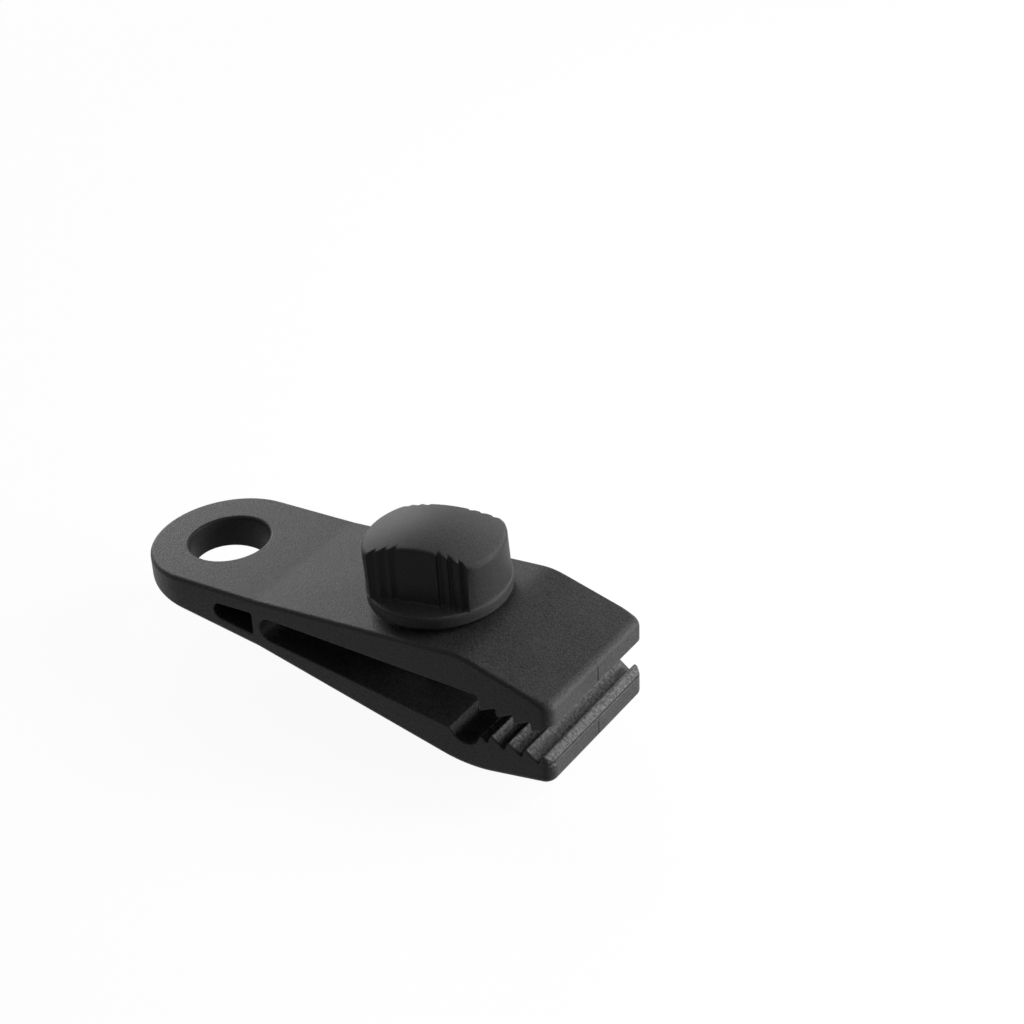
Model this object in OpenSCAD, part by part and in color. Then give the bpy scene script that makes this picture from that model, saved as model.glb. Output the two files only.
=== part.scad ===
// Tarp clip: a moulded two-jaw clip with a thin web as its hinge, a tether eye behind the web,
// and a thumb screw that runs through the upper jaw into a thread in the lower jaw.
// X runs from the tether eye to the jaws, Y across the clip, Z up towards the knob.
// The origin is the centre of the tether eye. The jaws stand a little open.

/* [Body] */
// Width of the clip across both jaws
clip_w = 28; // [24:0.5:34]
// Distance from the centre of the tether eye to the hinge web
hinge_reach = 17; // [16:0.1:24]
// Distance from the hinge web to the front of the jaws
jaw_reach = 59; // [57:0.05:66]
// Radius of the upright corners at the front of the jaws
corner_r = 1.8; // [1:0.1:5]

/* [Tether eye] */
// Diameter of the hole for the cord
eye_hole_d = 14.2; // [8:0.1:16]
// Height of the eye's top above the middle plane at its rear end
eye_end_top = 2.5; // [2:0.1:4]
// Depth of the eye's underside below the middle plane at its rear end
eye_end_low = 1.9; // [1.5:0.1:4]
// Least wall between the cord hole and the flexing slot
eye_wall = 0.6; // [0.4:0.1:2]

/* [Hinge web] */
// Thickness of the web that joins the jaws
web_t = 1.7; // [1:0.1:2.5]
// Half the height of the web, and the radius of the round bottom of the jaw gap
web_half_h = 2.25; // [1.8:0.05:2.6]
// Half the height of the flexing slot where it ends beside the eye
slot_end_r = 1.55; // [0.8:0.05:1.7]
// Height of the upper surface above the middle plane at the hinge
hinge_top = 5.05; // [4.2:0.05:6]
// Depth of the lower surface below the middle plane at the hinge
hinge_low = 4.7; // [4:0.05:6]
// Room left over the moving end of the web
web_clear = 0.3; // [0.2:0.05:0.5]
// Angle that the jaws open from this pose
open_angle = 3.2; // [1:0.1:4]
// Further angle left free at the hinge cut
hinge_clear_angle = 0.6; // [0.3:0.1:2]

/* [Upper jaw] */
// Distance from the hinge to the corner line of the upper crest
upper_peak_reach = 41.85; // [38:0.05:46]
// Height of the corner line of the upper crest above the middle plane
upper_peak_h = 10.5; // [9.5:0.1:10.6]
// Radius that rounds the upper crest
upper_peak_r = 12; // [8:1:32]
// Height of the front edge's top
upper_front_top = 6.6; // [5:0.1:8]
// Height of the front edge's bottom
upper_front_low = 2.7; // [2:0.05:3.4]
// Height of the inner face just behind the teeth
upper_inner_h = 3.75; // [3:0.05:4.5]
// Depth of the upper teeth
upper_tooth_h = 1.8; // [1:0.05:2]
// Height of the points of the upper teeth above the middle plane
upper_tip_h = 0.85; // [0.8:0.05:2]

/* [Lower jaw] */
// Distance from the hinge to the corner line of the lower crest
lower_peak_reach = 42.7; // [38:0.1:46]
// Depth of the corner line of the lower crest below the middle plane
lower_peak_d = 12.25; // [11:0.05:14]
// Radius that rounds the lower crest
lower_peak_r = 24; // [10:1:30]
// Depth of the front edge's bottom
lower_front_low = 8.5; // [8:0.1:11]
// Depth of the inner face just behind the rope groove
lower_inner_d = 4.95; // [4.5:0.05:5.6]
// Depth of the lower teeth
lower_tooth_h = 1.9; // [1:0.05:2]
// Depth of the points of the lower teeth below the middle plane
lower_tip_d = 3.3; // [3.1:0.05:4]
// Distance from the hinge to the centre of the groove across the lower jaw
groove_reach = 42.4; // [42:0.1:42.8]
// Radius of that groove, which takes the edge rope
groove_r = 3.05; // [2.5:0.05:3.2]
// Depth of the groove's centre below the middle plane
groove_centre_d = 4; // [3.6:0.1:4.6]

/* [Teeth] */
// Spacing of the teeth
tooth_pitch = 3.25; // [2.8:0.05:3.4]
// Number of full notches on each jaw
tooth_count = 4; // [3:1:4]
// Distance from the front of the jaws back to the first lower notch
first_notch_back = 2.35; // [2:0.05:3]
// Distance that the upper points stand behind the lower notches at rest
mesh_lag = 1.25; // [1:0.05:1.5]
// Share of the spacing that the steep rear side of an upper tooth takes
upper_lean_share = 0.08; // [0.04:0.01:0.5]
// Share of the spacing that the steep rear side of a lower tooth takes
lower_lean_share = 0.19; // [0.04:0.01:0.5]

/* [Thumb screw] */
// Distance from the hinge to the screw's axis
screw_reach = 29.5; // [29:0.1:29.9]
// Angle that the screw leans to the rear, so that its flange follows the upper jaw
screw_lean = 4; // [3.5:0.1:4.5]
// Diameter of the knob's flange
flange_d = 24.2; // [24:0.1:24.4]
// Thickness of the flange
flange_t = 2.2; // [1.6:0.1:2.8]
// Height of the underside of the flange above the middle plane, along the screw
flange_z = 9.9; // [9.85:0.05:11.5]
// Diameter of the knob's round sides where they leave the flange
grip_d = 23.9; // [22.8:0.1:24]
// Diameter of the knob's round sides at the shoulder
grip_top_d = 23.7; // [20:0.1:23.9]
// Height of the grip above the flange
grip_h = 10.5; // [9:0.05:14]
// Radius that rounds the shoulder of the grip
shoulder_r = 0.8; // [0.4:0.1:2]
// Radius of the domed top
dome_r = 26; // [16:0.2:60]
// Distance between the knob's two flat faces where they leave the flange
flat_gap = 16.6; // [14:0.1:18]
// Angle that the flat faces lean inwards
flat_lean = 5.5; // [0:0.5:8]
// Turn of the knob's flat faces from the clip's length
knob_turn = 13; // [0:1:180]
// Radius of the finger flutes in the flat faces
flute_r = 0.7; // [0.4:0.05:0.75]
// Depth of the finger flutes
flute_depth = 0.5; // [0.2:0.05:0.6]
// Spacing of the finger flutes
flute_pitch = 1.95; // [1.6:0.05:2]
// Distance from the middle of a flat face to its first flute
flute_first = 4.2; // [2.5:0.1:4.3]
// Diameter of the hub that passes the upper jaw
hub_d = 13.2; // [11.8:0.1:13.6]
// Length of the hub below the flange
hub_len = 8.2; // [8.1:0.05:8.6]
// Diameter of the stem's core
stem_d = 8.3; // [7:0.1:8.8]
// Length of the stem below the hub
stem_len = 9.3; // [8.6:0.1:10]
// Diameter over the thread
thread_d = 9.6; // [9.2:0.1:10.4]
// Advance of the thread in one turn
thread_lead = 3.15; // [2.8:0.05:3.6]
// Width of the thread at its foot
thread_foot_w = 1.5; // [1:0.1:1.7]
// Width of the thread at its crest
thread_crest_w = 0.7; // [0.4:0.1:0.9]
// Gap between the thread and its groove in the lower jaw
thread_clear = 0.25; // [0.15:0.05:0.3]
// Width of the chamfer at the stem's end
stem_chamfer = 0.8; // [0.3:0.1:1.2]

/* [Collar] */
// Diameter of the retaining collar
collar_d = 14.8; // [14.2:0.1:16]
// Thickness of the retaining collar
collar_t = 1.2; // [0.8:0.1:1.4]
// Gap between the collar's bore and the stem
collar_clear = 0.06; // [0.03:0.01:0.1]
// Gap between the hub's end and the collar
collar_end_clear = 0.05; // [0.03:0.01:0.2]
// Diameter of the recess in the lower jaw that faces the collar
recess_d = 14.4; // [12:0.1:15.5]
// Depth of that recess
recess_depth = 0.8; // [0.4:0.1:1.4]

/* [Clearances] */
// Room around the hub in the upper jaw
hub_clear = 0.3; // [0.25:0.05:0.5]
// Extra length of that hole each way along the clip, for the jaw's tilt
hub_sway = 0.8; // [0.7:0.05:1]
// Diameter of the round moulding marks on one side
mark_d = 3; // [2:0.1:4]
// Depth of the moulding marks
mark_depth = 0.3; // [0.1:0.05:0.5]

/* [Hidden] */
$fn = 96;
overrun = 2;
body_colour = "#2b2c2e";
knob_colour = "#333436";
stem_colour = "#141416";

half_w = clip_w / 2;
hinge_x = hinge_reach;
front_x = hinge_x + jaw_reach;
screw_x = hinge_x + screw_reach;
tall = 2 * (lower_peak_d + flange_z + flange_t + grip_h);

// Teeth and rope groove, set back from the front of the jaws
notch_x = [for (k = [0 : tooth_count - 1]) front_x - first_notch_back - k * tooth_pitch];
upper_tip_x = [for (x = notch_x) x - mesh_lag];
upper_root_z = upper_tip_h + upper_tooth_h;
lower_root_z = -lower_tip_d - lower_tooth_h;
upper_slant = (1 - upper_lean_share) * tooth_pitch;
lower_slant = (1 - lower_lean_share) * tooth_pitch;
upper_teeth_rear = upper_tip_x[tooth_count - 1] - upper_lean_share * tooth_pitch;
groove_x = hinge_x + groove_reach;
groove_rear_x = groove_x - sqrt(pow(groove_r, 2) - pow(lower_inner_d - groove_centre_d, 2));

// The web, the slot behind it and the round bottom of the jaw gap
web_rear_x = hinge_x - web_t / 2;
web_front_x = hinge_x + web_t / 2;
slot_end_x = eye_hole_d / 2 + eye_wall + slot_end_r;
gap_x = web_front_x + web_half_h;
cut_slope = tan(open_angle + hinge_clear_angle);

// Screw heights
hub_end_z = flange_z - hub_len;
stem_end_z = hub_end_z - stem_len;
collar_top_z = hub_end_z - collar_end_clear;
thread_top_z = collar_top_z - collar_t - thread_foot_w;
thread_bottom_z = stem_end_z + stem_chamfer + thread_foot_w / 2;
core_bore_r = stem_d / 2 + thread_clear;
thread_sink = thread_clear;
thread_steps = 24;

// Moulding marks on one side: share of the jaw's reach, share of the height between the two faces there
upper_mark_shares = [0.29, 0.84];
lower_mark_shares = [0.29, 0.885];
eye_mark_share = 0.21;
mark_mid_share = 0.5;

// Finger flutes are counted outwards from the flat's plain middle
flutes_per_end = 3;

// Top of the grip: a shallow dome that runs into a round shoulder
shoulder_x = grip_top_d / 2 - shoulder_r;
dome_centre_z = grip_h - dome_r;
shoulder_z = dome_centre_z + sqrt(pow(dome_r - shoulder_r, 2) - pow(shoulder_x, 2));
shoulder_angle = atan2(shoulder_z - dome_centre_z, shoulder_x);
dome_steps = 6;

function mix(a, b, share) = a + (b - a) * share;
function line_z(a, b, x) = mix(a[1], b[1], (x - a[0]) / (b[0] - a[0]));

// Points that round the corner b between the directions to a and c
function rounded(a, b, c, r, steps) =
    let (u = (a - b) / norm(a - b), v = (c - b) / norm(c - b))
    let (half = acos(u * v) / 2, back = r / tan(half))
    let (centre = b + (u + v) / norm(u + v) * r / sin(half))
    let (start = b + u * back - centre, stop = b + v * back - centre)
    let (sweep = acos((start * stop) / pow(r, 2)) * sign(start[0] * stop[1] - start[1] * stop[0]))
    [for (i = [0 : steps])
        let (t = sweep * i / steps)
        centre + [start[0] * cos(t) - start[1] * sin(t), start[0] * sin(t) + start[1] * cos(t)]];

// Corners of the side outline
upper_hinge = [hinge_x, hinge_top];
upper_peak = [hinge_x + upper_peak_reach, upper_peak_h];
upper_front = [front_x, upper_front_top];
lower_hinge = [hinge_x, -hinge_low];
lower_peak = [hinge_x + lower_peak_reach, -lower_peak_d];
lower_front = [front_x, -lower_front_low];
upper_inner_rear = [gap_x, web_half_h];
upper_inner_front = [upper_teeth_rear, upper_inner_h];
lower_inner_rear = [gap_x, -web_half_h];
lower_inner_front = [groove_rear_x, -lower_inner_d];
crest_steps = 10;

// Solid of a side outline, as wide as the clip
module side_solid(points) {
    rotate([90, 0, 0])
        linear_extrude(height = clip_w, center = true)
            polygon(points);
}

// Upright prism of the jaws' plan, with round front corners
module jaw_plan() {
    rear = hinge_x - overrun;
    linear_extrude(height = tall, center = true) {
        translate([rear, -half_w])
            square([front_x - corner_r - rear, clip_w]);
        translate([rear, corner_r - half_w])
            square([front_x - rear, clip_w - 2 * corner_r]);
        for (side = [-1, 1])
            translate([front_x - corner_r, side * (half_w - corner_r)])
                circle(r = corner_r);
    }
}

// Upright prism of the eye's plan, round at its rear
module eye_plan() {
    linear_extrude(height = tall, center = true) {
        circle(d = clip_w);
        translate([0, -half_w])
            square([hinge_x + overrun, clip_w]);
    }
}

// Sets what it is given on the screw's leaning axis
module on_screw() {
    translate([screw_x, 0, 0])
        rotate([0, -screw_lean, 0])
            children();
}

// Round cut across the clip
module cross_bore(x, z, r) {
    translate([x, 0, z])
        rotate([90, 0, 0])
            cylinder(r = r, h = clip_w + 2 * overrun, center = true);
}

// Shallow round mark on the far side
module side_mark(x, z) {
    translate([x, half_w - mark_depth, z])
        rotate([-90, 0, 0])
            cylinder(d = mark_d, h = mark_depth + overrun);
}

// Helical rib about the Z axis between two heights, in step with the screw's thread at rest
module helix(inner_r, outer_r, foot_w, crest_w, low_z, high_z) {
    turns = (high_z - low_z) / thread_lead;
    steps = ceil(turns * thread_steps);
    section = [
        [inner_r, -foot_w / 2], [outer_r, -crest_w / 2], [outer_r, crest_w / 2], [inner_r, foot_w / 2]];
    phase = (low_z - thread_bottom_z) / thread_lead * 360;
    points = [for (i = [0 : steps], p = section)
        let (t = i / steps, angle = phase + 360 * turns * t)
        [p[0] * cos(angle), p[0] * sin(angle), mix(low_z, high_z, t) + p[1]]];
    corners = len(section);
    sides = [for (i = [0 : steps - 1], j = [0 : corners - 1])
        let (a = corners * i + j, b = corners * i + (j + 1) % corners)
        each [[a, b, a + corners], [b, b + corners, a + corners]]];
    last = corners * steps;
    ends = [[for (j = [corners - 1 : -1 : 0]) j], [for (j = [0 : corners - 1]) last + j]];
    polyhedron(points = points, faces = concat(sides, ends));
}

module upper_jaw() {
    cut_low = [hinge_x + web_half_h * cut_slope, web_half_h];
    cut_top_x = hinge_x + hinge_top * cut_slope;
    cut_top = [cut_top_x, line_z(upper_hinge, upper_peak, cut_top_x)];
    teeth = [for (k = [tooth_count - 1 : -1 : 0])
        each [[upper_tip_x[k], upper_tip_h], [upper_tip_x[k] + upper_slant, upper_root_z]]];
    outline = concat(
        [cut_low, upper_inner_rear, upper_inner_front],
        teeth,
        [[front_x, upper_front_low], upper_front],
        rounded(upper_front, upper_peak, upper_hinge, upper_peak_r, crest_steps),
        [cut_top]);
    color(body_colour)
        difference() {
            intersection() {
                side_solid(outline);
                jaw_plan();
            }
            cross_bore(gap_x, 0, web_half_h);
            on_screw() {
                for (side = [-1, 1])
                    translate([side * hub_sway, 0, 0])
                        cylinder(d = hub_d + 2 * hub_clear, h = tall, center = true);
                cube([2 * hub_sway, hub_d + 2 * hub_clear, tall], center = true);
            }
            for (share = upper_mark_shares) {
                x = hinge_x + share * jaw_reach;
                crest_end = x < upper_peak[0] ? upper_hinge : upper_front;
                top_z = line_z(crest_end, upper_peak, x);
                low_z = x < upper_teeth_rear ? line_z(upper_inner_rear, upper_inner_front, x) : upper_root_z;
                side_mark(x, mix(low_z, top_z, mark_mid_share));
            }
        }
}

module lower_jaw() {
    teeth = [for (k = [tooth_count - 1 : -1 : 0])
        each [[notch_x[k] - lower_slant, -lower_tip_d], [notch_x[k], lower_root_z]]];
    last_tip = [notch_x[0] + tooth_pitch - lower_slant, -lower_tip_d];
    face_z = line_z(lower_inner_rear, lower_inner_front, screw_x);
    lip = [front_x, mix(-lower_tip_d, lower_root_z, (front_x - last_tip[0]) / lower_slant)];
    outline = concat(
        [lower_hinge],
        rounded(lower_hinge, lower_peak, lower_front, lower_peak_r, crest_steps),
        [lower_front, lip, last_tip],
        [for (i = [len(teeth) - 1 : -1 : 0]) teeth[i]],
        [lower_inner_front, lower_inner_rear, [hinge_x, -web_half_h]]);
    color(body_colour)
        difference() {
            intersection() {
                side_solid(outline);
                jaw_plan();
            }
            cross_bore(gap_x, 0, web_half_h);
            cross_bore(groove_x, -groove_centre_d, groove_r);
            translate([screw_x - face_z * tan(screw_lean), 0, face_z - recess_depth])
                cylinder(d = recess_d, h = lower_inner_d);
            on_screw() {
                cylinder(r = core_bore_r, h = tall, center = true);
                helix(stem_d / 2 - thread_sink, thread_d / 2 + thread_clear, thread_foot_w + 2 * thread_clear,
                    thread_crest_w + 2 * thread_clear, -lower_peak_d - overrun, -web_half_h);
            }
            for (share = lower_mark_shares) {
                x = hinge_x + share * jaw_reach;
                crest_end = x < lower_peak[0] ? lower_hinge : lower_front;
                low_z = line_z(crest_end, lower_peak, x);
                top_z = x < groove_rear_x ? line_z(lower_inner_rear, lower_inner_front, x) : lower_root_z;
                side_mark(x, mix(low_z, top_z, mark_mid_share));
            }
        }
}

module hinge_web() {
    moving_z = web_half_h - web_clear;
    outline = [
        [web_rear_x, -web_half_h], [gap_x, -web_half_h], [gap_x, 0], [web_front_x, moving_z],
        [hinge_x, moving_z], [hinge_x, web_half_h], [web_rear_x, web_half_h]];
    color(body_colour)
        difference() {
            side_solid(outline);
            cross_bore(gap_x, 0, web_half_h);
        }
}

module tether_eye() {
    rear_x = -half_w;
    outline = [
        [rear_x, eye_end_top], upper_hinge, [hinge_x, web_half_h], [web_rear_x, web_half_h],
        [slot_end_x, slot_end_r], [slot_end_x, -slot_end_r],
        [web_rear_x, -web_half_h], [hinge_x, -web_half_h], lower_hinge, [rear_x, -eye_end_low]];
    mark_x = eye_mark_share * hinge_reach;
    color(body_colour)
        difference() {
            intersection() {
                side_solid(outline);
                eye_plan();
            }
            cylinder(d = eye_hole_d, h = tall, center = true);
            cross_bore(slot_end_x, 0, slot_end_r);
            side_mark(mark_x, 0);
        }
}

// Grip of the knob: round sides, two flats with finger flutes, and a slightly domed top
module grip() {
    shoulder = [for (i = [0 : dome_steps])
        let (t = shoulder_angle * i / dome_steps)
        [shoulder_x + shoulder_r * cos(t), shoulder_z + shoulder_r * sin(t)]];
    dome = [for (i = [1 : dome_steps])
        let (t = mix(shoulder_angle, 90, i / dome_steps))
        [i == dome_steps ? 0 : dome_r * cos(t), dome_centre_z + dome_r * sin(t)]];
    difference() {
        rotate_extrude()
            polygon(concat([[0, 0], [grip_d / 2, 0]], shoulder, dome));
        for (face = [0, 180])
            rotate([0, 0, face])
                translate([0, -flat_gap / 2, 0])
                    rotate([-flat_lean, 0, 0]) {
                        translate([-flange_d, -flange_d, -flange_d])
                            cube([2 * flange_d, flange_d, grip_h + 2 * flange_d]);
                        for (end = [-1, 1], k = [0 : flutes_per_end - 1])
                            translate([
                                end * (flute_first + k * flute_pitch), flute_depth - flute_r, -overrun])
                                cylinder(r = flute_r, h = grip_h + 2 * overrun);
                    }
    }
}

module thumb_knob() {
    color(knob_colour)
        on_screw() {
            translate([0, 0, flange_z])
                cylinder(d = flange_d, h = flange_t);
            translate([0, 0, flange_z + flange_t])
                rotate([0, 0, knob_turn])
                    grip();
            translate([0, 0, hub_end_z])
                cylinder(d = hub_d, h = hub_len);
        }
}

module screw_stem() {
    color(stem_colour)
        on_screw() {
            translate([0, 0, stem_end_z + stem_chamfer])
                cylinder(d = stem_d, h = stem_len - stem_chamfer);
            translate([0, 0, stem_end_z])
                cylinder(d1 = stem_d - 2 * stem_chamfer, d2 = stem_d, h = stem_chamfer);
            helix(stem_d / 2 - thread_sink, thread_d / 2, thread_foot_w, thread_crest_w,
                thread_bottom_z, thread_top_z);
        }
}

module retaining_collar() {
    color(stem_colour)
        on_screw()
            translate([0, 0, collar_top_z - collar_t])
                difference() {
                    cylinder(d = collar_d, h = collar_t);
                    translate([0, 0, -overrun])
                        cylinder(d = stem_d + 2 * collar_clear, h = collar_t + 2 * overrun);
                }
}

lower_jaw();
upper_jaw();
hinge_web();
tether_eye();
thumb_knob();
screw_stem();
retaining_collar();
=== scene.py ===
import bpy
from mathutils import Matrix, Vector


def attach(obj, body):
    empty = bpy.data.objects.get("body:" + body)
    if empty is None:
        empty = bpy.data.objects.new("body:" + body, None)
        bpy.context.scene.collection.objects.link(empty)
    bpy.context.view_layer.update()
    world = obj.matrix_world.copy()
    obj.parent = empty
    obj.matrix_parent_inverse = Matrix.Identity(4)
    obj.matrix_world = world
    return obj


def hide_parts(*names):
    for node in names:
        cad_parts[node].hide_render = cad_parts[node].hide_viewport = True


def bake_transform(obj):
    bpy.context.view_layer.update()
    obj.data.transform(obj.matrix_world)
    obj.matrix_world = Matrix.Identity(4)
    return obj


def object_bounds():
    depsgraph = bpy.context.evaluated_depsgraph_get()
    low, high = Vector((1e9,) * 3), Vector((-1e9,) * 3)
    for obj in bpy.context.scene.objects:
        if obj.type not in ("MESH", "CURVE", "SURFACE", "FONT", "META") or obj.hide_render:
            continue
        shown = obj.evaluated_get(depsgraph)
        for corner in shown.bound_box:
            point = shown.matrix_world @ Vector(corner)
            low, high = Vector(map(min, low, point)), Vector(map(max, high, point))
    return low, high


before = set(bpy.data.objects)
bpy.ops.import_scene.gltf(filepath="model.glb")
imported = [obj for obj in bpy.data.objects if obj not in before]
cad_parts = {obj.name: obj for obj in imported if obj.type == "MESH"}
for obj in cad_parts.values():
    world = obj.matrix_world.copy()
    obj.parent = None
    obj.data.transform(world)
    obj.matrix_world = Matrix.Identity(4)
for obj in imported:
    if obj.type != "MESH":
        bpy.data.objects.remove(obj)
cad_box = [list(corner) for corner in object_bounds()]

import math

import bmesh
import bpy
from mathutils import Matrix, Vector

# Sizes are in millimetres, as in the part's own source
MM = 0.001

HALF_W = 14.0
HINGE_X = 17.0
FRONT_X = 76.0
CORNER_R = 1.8
EYE_HOLE_R = 7.1
EYE_END_TOP = 2.5
EYE_END_LOW = 1.9
EYE_WALL = 0.6
WEB_T = 1.7
WEB_HALF_H = 2.25
SLOT_END_R = 1.55
HINGE_TOP = 5.05
HINGE_LOW = 4.7

UPPER_PEAK = (HINGE_X + 41.85, 10.5)
UPPER_PEAK_R = 12.0
UPPER_FRONT_TOP = 6.6
UPPER_FRONT_LOW = 2.7
UPPER_INNER_H = 3.75
UPPER_TIP_H = 0.85
UPPER_ROOT_H = 2.65
LOWER_PEAK = (HINGE_X + 42.7, -12.25)
LOWER_PEAK_R = 24.0
LOWER_FRONT_LOW = 8.5
LOWER_INNER_D = 4.95
LOWER_TIP_D = 3.3
LOWER_ROOT_D = 5.2
GROOVE_X = HINGE_X + 42.4
GROOVE_R = 3.05
GROOVE_D = 4.0
TOOTH_PITCH = 3.25
TOOTH_COUNT = 4
FIRST_NOTCH_BACK = 2.35
MESH_LAG = 1.25
UPPER_LEAN_SHARE = 0.08
LOWER_LEAN_SHARE = 0.19

SCREW_X = HINGE_X + 29.5
SCREW_LEAN = 4.0
FLANGE_R = 12.1
FLANGE_Z = 9.9
FLANGE_T = 2.2
GRIP_R = 11.95
GRIP_TOP_R = 11.85
GRIP_H = 10.5
DOME_R = 26.0
FLAT_HALF = 8.3
FLAT_LEAN = 5.5
KNOB_TURN = 13.0
FLUTE_R = 0.7
FLUTE_DEPTH = 0.5
FLUTE_PITCH = 1.95
FLUTE_FIRST = 4.2
FLUTES_PER_END = 3
HUB_R = 6.6
HUB_END_Z = 1.7
HUB_CLEAR = 0.3
HUB_SWAY = 0.8
STEM_R = 4.15
STEM_END_Z = -7.6
STEM_CHAMFER = 0.8
THREAD_R = 4.8
THREAD_LEAD = 3.15
THREAD_FOOT_W = 1.5
THREAD_CREST_W = 0.7
THREAD_CLEAR = 0.25
COLLAR_R = 7.4
COLLAR_TOP_Z = 1.65
COLLAR_T = 1.2
COLLAR_BORE_R = 4.21
RECESS_R = 7.2
RECESS_DEPTH = 0.8
MARK_R = 1.5
MARK_DEPTH = 0.3

# Looks of the body: radii of the moulded edges, and the fine line where the mould parts
EDGE_R = 0.7
NOSE_EDGE_R = 1.35
NOSE_BACK = 4.0
NOSE_RUN = 3.0
LOW_EDGE_R = 1.0
INNER_EDGE_R = 0.22
RIM_R = 0.6
LOW_RIM_R = 0.2
TIP_R = 0.36
LIP_TIP_R = 0.55
LIP_RAISE = 0.25
LIP_R = 0.3
GROOVE_REAR_R = 0.3
GROOVE_TIP_R = 0.3
ROOT_R = 0.25
INNER_END_R = 0.4
SLOT_CORNER_R = 0.4
RECESS_SOFT = 0.2
MARK_SOFT = 0.15
MARK_SOFT_H = 0.12
PART_LINE_HALF = 0.16
PART_LINE_DEPTH = 0.035
PART_TICK_DEPTH = 0.12

# Moulding marks: shares of the reach to the web and of the jaws' reach
EYE_MARK_SHARE = 0.21
UPPER_MARK_SHARES = (0.29, 0.84)
LOWER_MARK_SHARES = (0.29, 0.885)

# Looks of the screw: soft edges, and the slightly hollow flats of the knob
HUB_EDGE = 0.3
FLANGE_LOW_R = 0.35
FLANGE_TOP_R = 0.55
KNOB_FOOT_R = 0.3
KNOB_FOOT_MID = 0.1
KNOB_EDGE_R = 0.6
FLAT_HOLLOW = 0.2
FLAT_HOLLOW_REACH = 8.0
FLAT_CORNER_POWER = 70.0
THREAD_FADE_TOP = 0.8
THREAD_FADE_END = 0.5
STEM_SINK = 0.2
COLLAR_EDGE_R = 0.25
COLLAR_BORE_EDGE = 0.1

# How far the cutters reach out of the part
CUT_REACH = 3.0
MOUTH_REACH = 4.0
MOUTH_CUT_STEP = 2.0
MOUTH_CUT_SKEW = 0.02

# Points around each round form
ROUND_SIDES = 72
BORE_SIDES = 64
MARK_SIDES = 40

# Edges sharper than this, in degrees, stay sharp; closer points and shorter edges than these are joined
SHARP_DEG = 34.0
KNOB_SHARP_DEG = 40.0
STEM_SHARP_DEG = 50.0
JOIN_POINTS = 0.002
JOIN_EDGES = 0.001

# Where the upper arm is cut off from the rest of the moulding
SEAM_X = 11.0

# Camera, fitted to the photograph's lower view
CAMERA_AZIMUTH = 35.177
CAMERA_ELEVATION = 33.618
CAMERA_ROLL = 2.405
CAMERA_FOCAL_PX = 2129.3
CAMERA_AT = (218.78, -224.29, 212.32)
CAMERA_CLIP_START_M = 0.01
IMAGE_PX = 1024
SENSOR_MM = 36.0

# Square soft lights, aimed at the clip's middle: name, place, size and power in watts
LIGHT_TARGET = (31.0, 0.0, 0.0)
LIGHTS = (
    ("rear", (-1200.0, 720.0, 480.0), 900.0, 11.6),
    ("front", (320.0, 140.0, 20.0), 160.0, 1.3),
    ("mouth", (240.0, 270.0, 190.0), 160.0, 0.5),
)

# White surround: what the camera sees of it, and the little light that it gives
FLOOR_HALF = 4000.0
FLOOR_DROP = 0.02
FLOOR_TONE = 0.12
FLOOR_GLOW = 0.94
WORLD_LIGHT = 0.04
WORLD_WHITE = 1.0


def line_at(a, b, x):
    """Height at x of the line through a and b."""
    return a[1] + (b[1] - a[1]) * (x - a[0]) / (b[0] - a[0])


def corner_arc(a, b, c, r):
    """Centre and the two touching points of the arc that rounds the corner b."""
    a, b, c = Vector(a), Vector(b), Vector(c)
    u, v = (a - b).normalized(), (c - b).normalized()
    half = u.angle(v) / 2
    return b + (u + v).normalized() * r / math.sin(half), b + u * r / math.tan(half), b + v * r / math.tan(half)


def round_corner(a, b, c, r):
    """Points along the arc that rounds the corner b of an outline."""
    steps = 3
    centre, start, stop = corner_arc(a, b, c, r)
    u, v = start - centre, stop - centre
    sweep = math.atan2(u.x * v.y - u.y * v.x, u.dot(v))
    points = []
    for i in range(steps + 1):
        t = sweep * i / steps
        points.append((centre.x + u.x * math.cos(t) - u.y * math.sin(t),
                       centre.y + u.x * math.sin(t) + u.y * math.cos(t)))
    return points


class Crest:
    """Height of the upper or lower surface along X: two slopes from the eye, a round crest and the front slope."""

    def __init__(self, rear, hinge, peak, front, r):
        self.rear, self.hinge, self.peak, self.front, self.r = rear, hinge, peak, front, r
        self.centre, self.start, self.stop = corner_arc(hinge, peak, front, r)
        self.side = 1 if peak[1] > 0 else -1

    def __call__(self, x):
        if x < self.hinge[0]:
            return line_at(self.rear, self.hinge, x)
        if x < self.start.x:
            return line_at(self.hinge, self.peak, x)
        if x < self.stop.x:
            return self.centre.y + self.side * math.sqrt(self.r ** 2 - (x - self.centre.x) ** 2)
        return line_at(self.peak, self.front, x)


top_z = Crest((-HALF_W, EYE_END_TOP), (HINGE_X, HINGE_TOP), UPPER_PEAK, (FRONT_X, UPPER_FRONT_TOP), UPPER_PEAK_R)
low_z = Crest((-HALF_W, -EYE_END_LOW), (HINGE_X, -HINGE_LOW), LOWER_PEAK, (FRONT_X, -LOWER_FRONT_LOW), LOWER_PEAK_R)


def half_width(x):
    """Half the clip's width at x, with its round rear end and front corners."""
    if x < 0:
        return math.sqrt(max(HALF_W ** 2 - x ** 2, 0))
    back = min(max(x - (FRONT_X - CORNER_R), 0), CORNER_R)
    return HALF_W - CORNER_R + math.sqrt(CORNER_R ** 2 - back ** 2)


# Mesh helpers

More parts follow.
